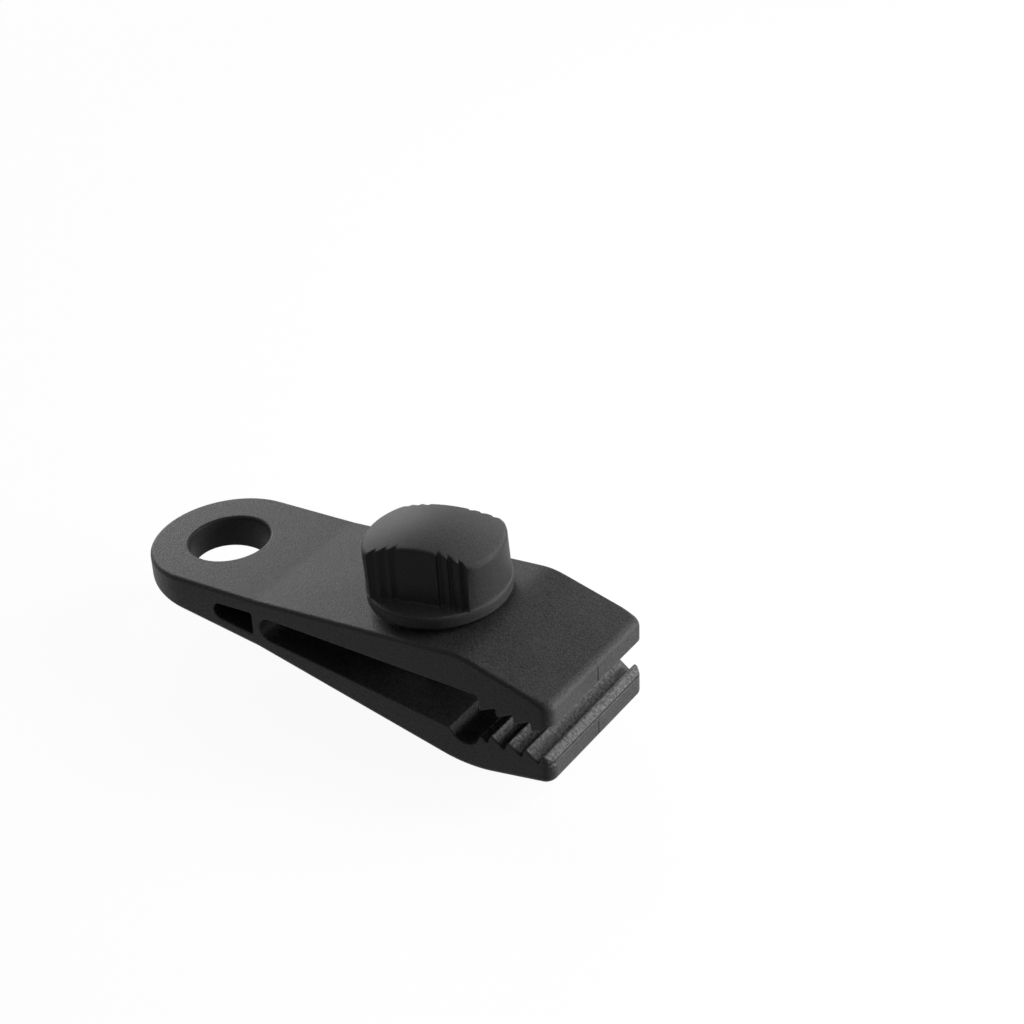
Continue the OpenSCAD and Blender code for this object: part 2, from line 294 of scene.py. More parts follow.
def new_object(name, verts, faces):
    """A mesh object from points in millimetres."""
    mesh = bpy.data.meshes.new(name)
    mesh.from_pydata([(x * MM, y * MM, z * MM) for x, y, z in verts], [], faces)
    bm = bmesh.new()
    bm.from_mesh(mesh)
    bmesh.ops.recalc_face_normals(bm, faces=bm.faces[:])
    bm.to_mesh(mesh)
    bm.free()
    obj = bpy.data.objects.new(name, mesh)
    bpy.context.scene.collection.objects.link(obj)
    return obj


def skin(rings):
    """Points and side faces of a tube over rings of the same number of points."""
    count = len(rings[0])
    verts = [p for ring in rings for p in ring]
    faces = []
    for i in range(len(rings) - 1):
        for j in range(count):
            k = (j + 1) % count
            faces.append((i * count + j, i * count + k, (i + 1) * count + k, (i + 1) * count + j))
    return verts, faces


def loft(name, rings):
    """A closed object over rings of the same number of points."""
    verts, faces = skin(rings)
    count = len(rings[0])
    faces.append(tuple(range(count - 1, -1, -1)))
    last = (len(rings) - 1) * count
    faces.append(tuple(range(last, last + count)))
    return new_object(name, verts, faces)


def circle(r, z, sides, x=SCREW_X):
    """A level ring of points, around the upright screw's axis unless x says otherwise."""
    turns = (2 * math.pi * j / sides for j in range(sides))
    return [(x + r * math.cos(t), r * math.sin(t), z) for t in turns]


def clamp(share):
    """The share, held between zero and one."""
    return min(max(share, 0), 1)


def ease(share):
    """A share from zero to one with a soft start and end."""
    share = clamp(share)
    return share * share * (3 - 2 * share)


def cut(obj, cutter, operation="DIFFERENCE", keep_cutter=False):
    """Applies one exact boolean to obj."""
    mod = obj.modifiers.new("cut", "BOOLEAN")
    mod.operation = operation
    mod.solver = "EXACT"
    mod.object = cutter
    bpy.context.view_layer.update()
    graph = bpy.context.evaluated_depsgraph_get()
    mesh = bpy.data.meshes.new_from_object(obj.evaluated_get(graph))
    obj.modifiers.clear()
    old = obj.data
    obj.data = mesh
    bpy.data.meshes.remove(old)
    if not keep_cutter:
        bpy.data.objects.remove(cutter)


def smooth_shade(obj, sharp_deg=SHARP_DEG):
    """Smooth faces with sharp edges kept, and normals weighted by face area so that flat faces stay flat."""
    bm = bmesh.new()
    bm.from_mesh(obj.data)
    bmesh.ops.remove_doubles(bm, verts=bm.verts[:], dist=JOIN_POINTS * MM)
    bmesh.ops.dissolve_degenerate(bm, edges=bm.edges[:], dist=JOIN_EDGES * MM)
    for face in bm.faces:
        face.smooth = True
    limit = math.radians(sharp_deg)
    for edge in bm.edges:
        edge.smooth = len(edge.link_faces) == 2 and edge.calc_face_angle(0.0) < limit
    bm.to_mesh(obj.data)
    bm.free()
    mod = obj.modifiers.new("normals", "WEIGHTED_NORMAL")
    mod.mode = "FACE_AREA"
    mod.weight = 50
    mod.keep_sharp = True


# The moulded body

def nose_radius(x):
    """Radius of the upper edge, which grows towards the front."""
    return EDGE_R + (NOSE_EDGE_R - EDGE_R) * ease((x - (FRONT_X - NOSE_BACK)) / NOSE_RUN)


def arc_steps(radius, steps=4):
    """Pairs of inset and drop that round an edge, from the side to the face."""
    out = []
    for i in range(steps + 1):
        t = math.radians(90 * i / steps)
        out.append((radius * (1 - math.cos(t)), radius * (1 - math.sin(t))))
    return out


def plan_side():
    """Points and outward normals along one side of the plan, from the rear end to the front."""
    out = []
    rear_steps = 32
    first = math.radians(2.0)
    for i in range(rear_steps + 1):
        t = first + (math.pi / 2 - first) * i / rear_steps
        out.append(((-HALF_W * math.cos(t), HALF_W * math.sin(t)), (-math.cos(t), math.sin(t))))
    straight_end = FRONT_X - CORNER_R
    steps = round(straight_end)
    for i in range(1, steps):
        out.append(((straight_end * i / steps, HALF_W), (0, 1)))
    corner_steps = 8
    for i in range(corner_steps + 1):
        t = math.radians(90 * i / corner_steps)
        n = (math.sin(t), math.cos(t))
        out.append(((straight_end + CORNER_R * n[0], HALF_W - CORNER_R + CORNER_R * n[1]), n))
    return out


def body_shell():
    """The clip's outer form, before the jaws, the slot and the holes are cut: round edges and a fine parting line."""
    side = plan_side()
    count = len(side)
    mids = (PART_LINE_HALF, 0.0, -PART_LINE_HALF)

    def ring(inset, drop, face, radius, turn):
        """One ring around the plan, moved in and up or down by shares of the edge's radius there."""
        points = []
        for sign in (1, -1):
            row = side if sign > 0 else side[::-1]
            for (x, y), (nx, ny) in row:
                r = radius(x)
                points.append((x - nx * inset * r, sign * (y - ny * inset * r), drop * r))
            for y in mids:
                r = radius(FRONT_X if sign > 0 else -HALF_W)
                depth = inset * r + (PART_TICK_DEPTH if y == 0 else 0)
                points.append((FRONT_X - depth if sign > 0 else -HALF_W + depth, sign * y, drop * r))
        return [(x, y, face(x) + turn * d) for x, y, d in points]

    edge_steps = 5
    rings = [ring(d, s, low_z, lambda x: LOW_EDGE_R, 1) for d, s in reversed(arc_steps(1.0, edge_steps))]
    rings += [ring(d, s, top_z, nose_radius, -1) for d, s in arc_steps(1.0, edge_steps)]
    verts, faces = skin(rings)
    size = len(rings[0])

    # Faces across the clip, with the parting line along the middle
    for base, height, sign in ((0, low_z, 1), ((len(rings) - 1) * size, top_z, -1)):
        rows = []
        for i in range(count):
            left, right = base + i, base + 2 * count + len(mids) - 1 - i
            if i == count - 1:
                inner = [base + count + k for k in range(len(mids))]
            elif i == 0:
                inner = [base + size - 1 - k for k in range(len(mids))]
            else:
                x = verts[left][0]
                inner = []
                for y in mids:
                    inner.append(len(verts))
                    verts.append((x, y, height(x) + (sign * PART_LINE_DEPTH if y == 0 else 0)))
            rows.append([left, *inner, right])
        for a, b in zip(rows, rows[1:]):
            for j in range(len(a) - 1):
                faces.append((a[j], a[j + 1], b[j + 1], b[j]))
    return new_object("clip_shell", verts, faces)


def offset_outline(points, distance):
    """The closed outline moved outwards by distance, with as many points."""
    area = sum(a[0] * b[1] - b[0] * a[1] for a, b in zip(points, points[1:] + points[:1]))
    turn = 1 if area > 0 else -1
    out = []
    for i, p in enumerate(points):
        p = Vector(p)
        before = (p - Vector(points[i - 1])).normalized()
        after = (Vector(points[(i + 1) % len(points)]) - p).normalized()
        n1 = Vector((before.y, -before.x)) * turn
        n2 = Vector((after.y, -after.x)) * turn
        n = n1 + n2
        out.append(p + n * (2 * distance / n.length_squared))
    return out


def flare(radius):
    """Pairs of growth and depth under the face that give a cutter a round edge, ending outside the part."""
    last = math.radians(85)
    steps = 4
    pairs = []
    for i in range(steps + 1):
        t = last * i / steps
        pairs.append((radius * (1 - math.cos(t)), radius * (1 - math.sin(t))))
    grow, depth = pairs[-1]
    outside = 0.02 * radius
    pairs.append((grow + (depth + outside) / math.tan(math.pi / 2 - last), -outside))
    pairs.append((pairs[-1][0], -CUT_REACH))
    return pairs


def cross_cutter(name, outline, radius):
    """Cutter along Y of a side outline, flared at both sides so that it leaves round edges."""
    half = []
    for grow, depth in flare(radius):
        points = offset_outline(outline, grow)
        half.append([(p.x, half_width(min(p.x, FRONT_X)) - depth, p.y) for p in points])
    mirrored = [[(x, -y, z) for x, y, z in ring] for ring in reversed(half)]
    return loft(name, mirrored + half)


NOTCH_X = [FRONT_X - FIRST_NOTCH_BACK - k * TOOTH_PITCH for k in range(TOOTH_COUNT)]
GAP_X = HINGE_X + WEB_T / 2 + WEB_HALF_H
UPPER_SLANT = (1 - UPPER_LEAN_SHARE) * TOOTH_PITCH
LOWER_SLANT = (1 - LOWER_LEAN_SHARE) * TOOTH_PITCH
UPPER_TEETH_REAR = NOTCH_X[-1] - MESH_LAG - UPPER_LEAN_SHARE * TOOTH_PITCH
GROOVE_REAR_X = GROOVE_X - math.sqrt(GROOVE_R ** 2 - (LOWER_INNER_D - GROOVE_D) ** 2)


def rounded_outline(corners):
    """Outline of corners given as (x, z, radius); a radius of zero keeps the point."""
    points = []
    for i, (x, z, r) in enumerate(corners):
        if r == 0:
            points.append((x, z))
            continue
        before, after = corners[i - 1], corners[(i + 1) % len(corners)]
        points += round_corner(before[:2], (x, z), after[:2], r)
    return points


def along(a, b, step):
    """Points between a and b, without them."""
    count = max(int(math.dist(a, b) / step), 1)
    return [(a[0] + (b[0] - a[0]) * i / count, a[1] + (b[1] - a[1]) * i / count, 0) for i in range(1, count)]


def groove_front():
    """Where the rope groove meets the long flank of the rearmost lower tooth."""
    tip = Vector((NOTCH_X[-1] - LOWER_SLANT - GROOVE_X, GROOVE_D - LOWER_TIP_D))
    run = Vector((LOWER_SLANT, LOWER_TIP_D - LOWER_ROOT_D))
    a, b, c = run.dot(run), 2 * tip.dot(run), tip.dot(tip) - GROOVE_R ** 2
    meet = tip + run * ((-b + math.sqrt(b * b - 4 * a * c)) / (2 * a))
    return GROOVE_X + meet.x, meet.y - GROOVE_D


def rear_arc(x, r):
    """Half circle that closes an outline at its rear, from its top to its bottom."""
    steps = 14
    turns = (math.radians(90 + 180 * i / steps) for i in range(steps + 1))
    return [(x + r * math.cos(t), r * math.sin(t), 0) for t in turns]


def jaw_gap_outline():
    """The gap between the jaws, from the web to the front: inner faces, rope groove and both rows of teeth."""
    out_x = FRONT_X + MOUTH_REACH
    face_step = 6.0
    corners = rear_arc(GAP_X, WEB_HALF_H)
    groove_rear = (GROOVE_REAR_X, -LOWER_INNER_D)
    corners += along((GAP_X, -WEB_HALF_H), groove_rear, face_step)
    corners.append((*groove_rear, GROOVE_REAR_R))
    start = math.atan2(GROOVE_D - LOWER_INNER_D, GROOVE_REAR_X - GROOVE_X)
    groove_end = groove_front()
    stop = math.atan2(groove_end[1] + GROOVE_D, groove_end[0] - GROOVE_X)
    sweep = stop - start + (2 * math.pi if stop < start else 0)
    arc = 16
    for i in range(1, arc - 1):
        t = start + sweep * i / arc
        corners.append((GROOVE_X + GROOVE_R * math.cos(t), -GROOVE_D + GROOVE_R * math.sin(t), 0))
    corners.append((*groove_end, GROOVE_TIP_R))
    for k in range(TOOTH_COUNT - 1, -1, -1):
        corners.append((NOTCH_X[k], -LOWER_ROOT_D, ROOT_R))
        corners.append((NOTCH_X[k] + TOOTH_PITCH - LOWER_SLANT, -LOWER_TIP_D, TIP_R))
    last_tip = corners.pop()
    lip_z = -LOWER_TIP_D - (FRONT_X - last_tip[0]) * (LOWER_ROOT_D - LOWER_TIP_D) / LOWER_SLANT
    corners.append((last_tip[0], last_tip[1] + LIP_RAISE, LIP_TIP_R))
    corners.append((FRONT_X, lip_z, LIP_R))
    corners.append((FRONT_X + MOUTH_CUT_SKEW, lip_z - MOUTH_CUT_STEP, 0))
    corners.append((out_x, lip_z - MOUTH_CUT_STEP, 0))
    corners.append((out_x, UPPER_FRONT_LOW + MOUTH_CUT_STEP, 0))
    corners.append((FRONT_X + MOUTH_CUT_SKEW, UPPER_FRONT_LOW + MOUTH_CUT_STEP, 0))
    corners.append((FRONT_X, UPPER_FRONT_LOW, LIP_R))
    for k in range(TOOTH_COUNT):
        tip = NOTCH_X[k] - MESH_LAG
        corners.append((tip + UPPER_SLANT, UPPER_ROOT_H, ROOT_R))
        corners.append((tip, UPPER_TIP_H, TIP_R))
    inner_front = (UPPER_TEETH_REAR, UPPER_INNER_H)
    corners.append((*inner_front, INNER_END_R))
    corners += along(inner_front, (GAP_X, WEB_HALF_H), face_step)
    return rounded_outline(corners)


def slot_outline():
    """The flexing slot between the eye and the web."""
    end_x = EYE_HOLE_R + EYE_WALL + SLOT_END_R
    web_x = HINGE_X - WEB_T / 2
    face_step = 1.0
    corners = rear_arc(end_x, SLOT_END_R)
    corners += along((end_x, -SLOT_END_R), (web_x, -WEB_HALF_H), face_step)
    corners.append((web_x, -WEB_HALF_H, SLOT_CORNER_R))
    corners.append((web_x, WEB_HALF_H, SLOT_CORNER_R))
    corners += along((web_x, WEB_HALF_H), (end_x, SLOT_END_R), face_step)
    return rounded_outline(corners)


def eye_cutter():
    """Cutter for the tether hole, flared at both faces to leave a round rim."""
    def ring(grow, depth, height, sign):
        flat = circle(EYE_HOLE_R + grow, sign * depth, ROUND_SIDES, 0.0)
        return [(x, y, height(x) + z) for x, y, z in flat]

    rings = [ring(g, d, low_z, 1) for g, d in reversed(flare(LOW_RIM_R))]
    rings += [ring(g, d, top_z, -1) for g, d in flare(RIM_R)]
    return loft("eye_cutter", rings)


def lean_back(obj):
    """Leans a piece of the screw, built upright, to the rear."""
    foot = Vector((SCREW_X * MM, 0, 0))
    turn = Matrix.Rotation(math.radians(-SCREW_LEAN), 4, "Y")
    obj.data.transform(Matrix.Translation(foot) @ turn @ Matrix.Translation(-foot))
    return obj


def hub_cutter():
    """Cutter for the long hole that the hub passes through in the upper arm."""
    r = HUB_R + HUB_CLEAR
    outline = []
    steps = 24
    for side in (1, -1):
        for i in range(steps + 1):
            t = math.radians(-90 + 180 * i / steps)
            outline.append((SCREW_X + side * (HUB_SWAY + r * math.cos(t)), side * r * math.sin(t)))
    low, high = 0.2, 16.0
    return lean_back(loft("hub_cutter", [[(x, y, z) for x, y in outline] for z in (low, high)]))


THREAD_PHASE_Z = STEM_END_Z + STEM_CHAMFER + THREAD_FOOT_W / 2


def thread_radius(angle, z, clear=0.0):
    """Radius at an angle and height of the right-hand thread, grown by a clearance on all its faces."""
    core, crest = STEM_R + clear, THREAD_R + clear
    foot_w, crest_w = THREAD_FOOT_W + 2 * clear, THREAD_CREST_W + 2 * clear
    away = (z - THREAD_PHASE_Z - THREAD_LEAD * angle / (2 * math.pi)) / THREAD_LEAD
    away = abs(away - round(away)) * THREAD_LEAD
    return core + (crest - core) * ease((foot_w / 2 - away) / ((foot_w - crest_w) / 2))


def bore_cutter():
    """Cutter for the threaded hole in the lower arm."""
    rings = []
    low, high, steps = -15.0, -1.5, 100
    for i in range(steps + 1):
        z = low + (high - low) * i / steps
        ring = []
        for j in range(BORE_SIDES):
            t = 2 * math.pi * j / BORE_SIDES
            r = thread_radius(t, z, THREAD_CLEAR)
            ring.append((SCREW_X + r * math.cos(t), r * math.sin(t), z))
        rings.append(ring)
    return lean_back(loft("bore_cutter", rings))


def recess_cutter():
    """Cutter for the shallow recess in the lower arm that faces the collar."""
    face_z = line_at((GAP_X, -WEB_HALF_H), (GROOVE_REAR_X, -LOWER_INNER_D), SCREW_X)
    floor_z = face_z - RECESS_DEPTH
    x = SCREW_X - face_z * math.tan(math.radians(SCREW_LEAN))
    open_z = -1.0
    levels = ((RECESS_R - RECESS_SOFT, floor_z), (RECESS_R, floor_z + RECESS_SOFT), (RECESS_R, open_z))
    return loft("recess_cutter", [circle(r, z, BORE_SIDES, x) for r, z in levels])


def mark_cutter(x, z):
    """Cutter for one shallow round moulding mark on the far side."""
    floor_y = HALF_W - MARK_DEPTH
    open_y = HALF_W + 2.0
    rings = []
    for r, y in ((MARK_R - MARK_SOFT, floor_y), (MARK_R, floor_y + MARK_SOFT_H), (MARK_R, open_y)):
        rings.append([(u, y, z + v) for u, v, _ in circle(r, 0.0, MARK_SIDES, x)])
    return loft("mark_cutter", rings)


def mark_places():
    """Places of the moulding marks, midway between the inner and outer faces."""
    jaw_reach = FRONT_X - HINGE_X
    places = [(EYE_MARK_SHARE * HINGE_X, 0.0)]
    for share in UPPER_MARK_SHARES:
        x = HINGE_X + share * jaw_reach
        inner = line_at((GAP_X, WEB_HALF_H), (UPPER_TEETH_REAR, UPPER_INNER_H), x)
        if x > UPPER_TEETH_REAR:
            inner = UPPER_ROOT_H
        end = (HINGE_X, HINGE_TOP) if x < UPPER_PEAK[0] else (FRONT_X, UPPER_FRONT_TOP)
        places.append((x, (inner + line_at(end, UPPER_PEAK, x)) / 2))
    for share in LOWER_MARK_SHARES:
        x = HINGE_X + share * jaw_reach
        inner = line_at((GAP_X, -WEB_HALF_H), (GROOVE_REAR_X, -LOWER_INNER_D), x)
        if x > GROOVE_REAR_X:
            inner = -LOWER_ROOT_D
        end = (HINGE_X, -HINGE_LOW) if x < LOWER_PEAK[0] else (FRONT_X, -LOWER_FRONT_LOW)
        places.append((x, (inner + line_at(end, LOWER_PEAK, x)) / 2))
    return places


def make_body():
    """The upper arm, which bends at the web, and the rest of the moulding."""
    whole = body_shell()
    cut(whole, cross_cutter("gap_cutter", jaw_gap_outline(), INNER_EDGE_R))
    cut(whole, cross_cutter("slot_cutter", slot_outline(), INNER_EDGE_R))
    cut(whole, eye_cutter())
    cut(whole, hub_cutter())
    cut(whole, recess_cutter())
    cut(whole, bore_cutter())
    for x, z in mark_places():
        cut(whole, mark_cutter(x, z))
    arm = new_object("upper_arm", [], [])
    arm.data = whole.data.copy()
    whole.name = "lower_arm_and_eye"
    margin, high = 10.0, 30.0
    y = HALF_W + margin
    half = loft("arm_box", [[(x, -y, 0.0), (x, y, 0.0), (x, y, high), (x, -y, high)]
                            for x in (SEAM_X, FRONT_X + margin)])
    cut(arm, half, "INTERSECT", keep_cutter=True)
    cut(whole, half)
    for obj in (arm, whole):
        smooth_shade(obj)
    return arm, whole


# The thumb screw

def flute_depth_at(u):
    """Depth of the finger flutes below the flat face at distance u from its middle."""
    depth = 0.0
    for k in range(FLUTES_PER_END):
        away = abs(abs(u) - (FLUTE_FIRST + k * FLUTE_PITCH))
        if away < FLUTE_R:
            depth = max(depth, math.sqrt(FLUTE_R ** 2 - away ** 2) - (FLUTE_R - FLUTE_DEPTH))
    return depth


def flat_samples():
    """Places along a flat face where the knob has its rows of points, from one end to the other."""
    half = math.sqrt(FLUTE_R ** 2 - (FLUTE_R - FLUTE_DEPTH) ** 2)
    flute_shares = (-1.2, -1.0, -0.85, -0.6, -0.3, 0.0, 0.3, 0.6, 0.85, 1.0, 1.2)
    places = [0.0, 1.0, 2.0]
    for k in range(FLUTES_PER_END):
        middle = FLUTE_FIRST + k * FLUTE_PITCH
        places += [middle + half * s for s in flute_shares]
    places = sorted(places)
    return [-p for p in reversed(places[1:])] + places


def grip_ring(height, inset=0.0):
    """Plan of the grip at a height above the flange: two fluted flats that lean in and two round sides."""
    round_r = GRIP_R + (GRIP_TOP_R - GRIP_R) * clamp(height / GRIP_H)
    flat = FLAT_HALF - height * math.tan(math.radians(FLAT_LEAN))
    samples = flat_samples()
    corner_back = 0.35
    corner = math.sqrt(round_r ** 2 - flat ** 2)
    edge = math.atan2(flat, max(samples[-1], corner - corner_back))
    round_steps = 22
    angles = []
    for side in (0, 1):
        for u in reversed(samples):
            angles.append(math.atan2(flat, u) + side * math.pi)
        for i in range(1, round_steps):
            angles.append(math.pi - edge + 2 * edge * i / round_steps + side * math.pi)
    # A ray that runs nearly along the flat meets the round side, so no flute or hollow counts there
    least_across, least_slope, far_away = 0.3, 0.05, 20.0
    power = FLAT_CORNER_POWER
    points = []
    for angle in angles:
        across = abs(math.sin(angle))
        place = flat / math.tan(angle) if across > least_across else far_away
        bow = FLAT_HOLLOW * max(0.0, 1 - (place / FLAT_HOLLOW_REACH) ** 2)
        face = (flat - flute_depth_at(place) - bow) / max(across, least_slope)
        r = (face ** -power + round_r ** -power) ** (-1 / power) - inset
        turn = angle + math.radians(KNOB_TURN)
        points.append((r * math.cos(turn), r * math.sin(turn), r))
    return points


def dome_height(r):
    """Height of the domed top above the flange, at a distance from the axis."""
    return GRIP_H - DOME_R + math.sqrt(DOME_R ** 2 - r ** 2)


grip_levels = {}


def grip_point(height, index):
    """One point of the grip's plan at a height, from a plan that is worked out once per height."""
    key = round(height, 4)
    if key not in grip_levels:
        grip_levels[key] = grip_ring(height)
    return grip_levels[key][index]


def make_knob():
    """Hub, flange and grip as one skin."""
    base = FLANGE_Z + FLANGE_T
    foot = grip_ring(0.0)
    count = len(foot)
    directions = [math.atan2(y, x) for x, y, _ in foot]
    # Radius and height of the turned lower part, from the middle of the hub's end to the flange's upper edge
    hub_middle_r = 0.2
    turned = [(hub_middle_r, HUB_END_Z), (HUB_R - HUB_EDGE, HUB_END_Z)]
    turned += [(HUB_R, HUB_END_Z + HUB_EDGE), (HUB_R, FLANGE_Z)]
    turned += [(FLANGE_R - inset, FLANGE_Z + drop) for inset, drop in reversed(arc_steps(FLANGE_LOW_R))]
    turned += [(FLANGE_R - inset, base - drop) for inset, drop in arc_steps(FLANGE_TOP_R)]
    rings = [[(SCREW_X + r * math.cos(t), r * math.sin(t), z) for t in directions] for r, z in turned]

    # Fillet at the foot, leaning sides, then the edge that follows the dome
    for inset, height in ((-KNOB_FOOT_R, 0.0), (-KNOB_FOOT_MID, KNOB_FOOT_MID), (0.0, KNOB_FOOT_R)):
        rings.append([(SCREW_X + x, y, base + height) for x, y, _ in grip_ring(height, inset)])
    edge_heights = [dome_height(r) - KNOB_EDGE_R for _, _, r in grip_ring(GRIP_H)]
    side_steps = 9
    for i in range(1, side_steps):
        share = i / side_steps
        ring = []
        for k in range(count):
            height = KNOB_FOOT_R + (edge_heights[k] - KNOB_FOOT_R) * share
            px, py, _ = grip_point(height, k)
            ring.append((SCREW_X + px, py, base + height))
        rings.append(ring)
    edge_steps = 5
    for inset, drop in arc_steps(KNOB_EDGE_R, edge_steps):
        ring = []
        for k in range(count):
            px, py, pr = grip_point(edge_heights[k], k)
            r = pr - inset
            scale = r / pr
            ring.append((SCREW_X + px * scale, py * scale, base + dome_height(r) - drop))
        rings.append(ring)
    last = rings[-1]
    dome_shares = (0.93, 0.84, 0.72, 0.58, 0.42, 0.26, 0.12, 0.02)
    for scale in dome_shares:
        ring = []
        for x, y, _ in last:
            px, py = (x - SCREW_X) * scale, y * scale
            ring.append((SCREW_X + px, py, base + dome_height(math.hypot(px, py))))
        rings.append(ring)
    obj = lean_back(loft("thumb_knob_skin", rings))
    smooth_shade(obj, KNOB_SHARP_DEG)
    return obj


def make_stem():
    """The stem with its raised thread."""
    top = HUB_END_Z + STEM_SINK
    thread_top = COLLAR_TOP_Z - COLLAR_T - THREAD_FOOT_W / 2
    thread_end = STEM_END_Z + STEM_CHAMFER
    steps = 150
    end_middle_r = 0.3
    rings = [circle(end_middle_r, STEM_END_Z, ROUND_SIDES)]
    for i in range(steps + 1):
        z = STEM_END_Z + (top - STEM_END_Z) * i / steps
        core = STEM_R - max(0, STEM_CHAMFER - (z - STEM_END_Z))
        fade = clamp((thread_top - z) / THREAD_FADE_TOP) * clamp((z - thread_end) / THREAD_FADE_END)
        ring = []
        for j in range(ROUND_SIDES):
            t = 2 * math.pi * j / ROUND_SIDES
            r = core + (thread_radius(t, z) - STEM_R) * fade
            ring.append((SCREW_X + r * math.cos(t), r * math.sin(t), z))
        rings.append(ring)
    obj = lean_back(loft("screw_stem_skin", rings))
    smooth_shade(obj, STEM_SHARP_DEG)
    return obj


def make_collar():
    """The retaining ring with softened rims."""
    low, high = COLLAR_TOP_Z - COLLAR_T, COLLAR_TOP_Z
    bore, soft = COLLAR_BORE_R, COLLAR_BORE_EDGE
    profile = [(bore + soft, low), (COLLAR_R - COLLAR_EDGE_R, low)]
    profile += [(COLLAR_R - i, low + d) for i, d in reversed(arc_steps(COLLAR_EDGE_R))]
    profile += [(COLLAR_R - i, high - d) for i, d in arc_steps(COLLAR_EDGE_R)]
    profile += [(bore + soft, high), (bore, high - soft), (bore, low + soft)]
    count = len(profile)
    verts, faces = [], []
    for j in range(ROUND_SIDES):
        t = 2 * math.pi * j / ROUND_SIDES
        verts += [(SCREW_X + r * math.cos(t), r * math.sin(t), z) for r, z in profile]
    for j in range(ROUND_SIDES):
        n = (j + 1) % ROUND_SIDES
        for i in range(count):
            k = (i + 1) % count
            faces.append((j * count + i, j * count + k, n * count + k, n * count + i))
    obj = lean_back(new_object("retaining_collar_skin", verts, faces))
    smooth_shade(obj)
    return obj


# Materials

REST_PLACE = "rest_place"
PLASTIC_IOR = 1.48
CLOUD_SCALE = 90.0
SPECKLE = 0.75

# Usual span of a noise value, over which tone and roughness change
TONE_SPAN = (0.3, 0.72)
ROUGH_SPAN = (0.3, 0.7)

# Grain on the teeth, made lighter there as painted light, and the tone of the painted shade in the crease and on the
# eye's wall
SPARK_SCALE = 2100.0
LIT_SPARK_DARK = (0.05, 0.05, 0.05)
LIT_SPARK_LIGHT = (0.22, 0.22, 0.22)
PAINTED_SHADE_TONE = 0.02

# Where the masks of painted light and shade on the body lie, in millimetres
MASK_FRONT_X = FRONT_X + 1.0
TEETH_HALF_W = 13.75
TEETH_Z = (-LOWER_ROOT_D - 0.2, UPPER_ROOT_H - 0.1)
LIP_FRONT_X = FRONT_X - 0.05
LIP_FRONT_Z = (-9.0, -4.6)
CREASE_SHADE_X = FRONT_X - 0.5
CREASE_SHADE_Z = (-4.56, -4.34)
EYE_WALL_SHADE_SPAN = (5.0, EYE_HOLE_R + 0.5)

# Upward part of the normal, over which light is painted on the knob's top
TOP_LIGHT_SPAN = (0.5, 0.85)


def math_node(tree, operation, *values):
    """Result of one operation on values that are sockets or numbers."""
    node = tree.nodes.new("ShaderNodeMath")
    node.operation = operation
    for value, socket in zip(values, node.inputs):
        if isinstance(value, bpy.types.NodeSocket):
            tree.links.new(value, socket)
        else:
            socket.default_value = value
    return node.outputs["Value"]


def times(tree, a, b):
    """Product of two values."""
    return math_node(tree, "MULTIPLY", a, b)


def map_range(tree, value, start, stop, low=0.0, high=1.0):
    """The value, spread from low to high over the span from start to stop and held there."""
    node = tree.nodes.new("ShaderNodeMapRange")
    for key, number in (("From Min", start), ("From Max", stop), ("To Min", low), ("To Max", high)):
        node.inputs[key].default_value = number
    tree.links.new(value, node.inputs["Value"])
    return node.outputs["Result"]


def noise(tree, coords, scale, detail, roughness=0.5):
    """Noise in the object's own frame."""
    node = tree.nodes.new("ShaderNodeTexNoise")
    for key, number in (("Scale", scale), ("Detail", detail), ("Roughness", roughness)):
        node.inputs[key].default_value = number
    tree.links.new(coords.outputs["Object"], node.inputs["Vector"])
    return node.outputs["Fac"]


def tone_ramp(tree, value, dark, light):
    """Colour from dark to light by a noise value."""
    ramp = tree.nodes.new("ShaderNodeValToRGB")
    for i, colour in enumerate((dark, light)):
        ramp.color_ramp.elements[i].position = TONE_SPAN[i]
        ramp.color_ramp.elements[i].color = (*colour, 1)
    tree.links.new(value, ramp.inputs["Fac"])
    return ramp.outputs["Color"]


def mix_colour(tree, share, colour, other, blend="MIX"):
    """The colour mixed by a share with another one, which is a socket or a grey tone."""
    mix = tree.nodes.new("ShaderNodeMix")
    mix.data_type = "RGBA"
    mix.blend_type = blend
    tree.links.new(share, mix.inputs[0])
    tree.links.new(colour, mix.inputs[6])
    if isinstance(other, bpy.types.NodeSocket):
        tree.links.new(other, mix.inputs[7])
    else:
        mix.inputs[7].default_value = (other, other, other, 1)
    return mix.outputs[2]


def band(tree, value, low, high, soft):
    """One where the value lies between low and high, in millimetres, with soft ends."""
    start = map_range(tree, value, low * MM, (low + soft) * MM)
    stop = map_range(tree, value, high * MM, (high - soft) * MM)
    return times(tree, start, stop)


def eye_wall_shade(tree, x, y):
    """One on the wall of the tether eye's hole and on its rounded rim, in the hole's own frame, where shade is painted.
    """
    square = math_node(tree, "ADD", times(tree, x, x), times(tree, y, y))
    return band(tree, math_node(tree, "SQRT", square), *EYE_WALL_SHADE_SPAN, soft=0.15)


